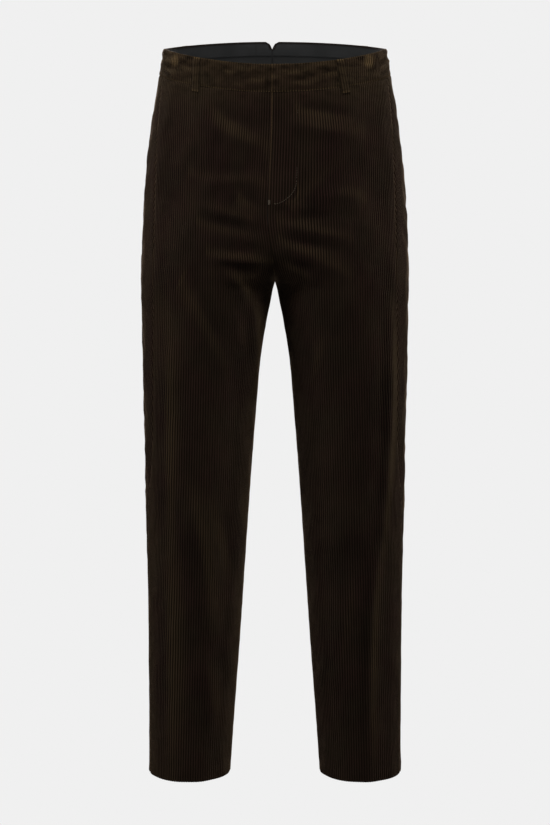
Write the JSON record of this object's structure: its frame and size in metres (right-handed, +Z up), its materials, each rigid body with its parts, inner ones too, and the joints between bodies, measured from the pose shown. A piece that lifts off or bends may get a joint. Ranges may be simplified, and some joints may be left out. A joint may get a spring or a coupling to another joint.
{
  "type": "corduroy trousers",
  "caption": "Dark brown corduroy trousers with straight wide legs, filled out as if worn, hollow and open at the waist and hems",
  "frame": {"origin": "middle of the waist, halfway up the waistband at the side seams, where the wearer's waist holds the trousers", "axes": "+Z up along the legs, -Y out of the front, +X to the wearer's left"},
  "size_m": [0.3752, 0.2627, 1.0445],
  "materials": {
    "corduroy": "cotton corduroy, about seven wales to the inch",
    "lining": "smooth woven cotton lining"
  },
  "bodies": {
    "root": {"front_leg_left": "corduroy", "front_leg_right": "corduroy", "back_leg_left": "corduroy", "back_leg_right": "corduroy", "waistband_left": "corduroy", "waistband_right": "corduroy", "waistband_lining_left": "lining", "waistband_lining_right": "lining", "lining_curtain_left": "lining", "lining_curtain_right": "lining", "belt_loop_front_left": "corduroy", "belt_loop_front_right": "corduroy", "belt_loop_side_left": "corduroy", "belt_loop_side_right": "corduroy", "belt_loop_back_left": "corduroy", "belt_loop_back_right": "corduroy"}
  },
  "joints": []
}
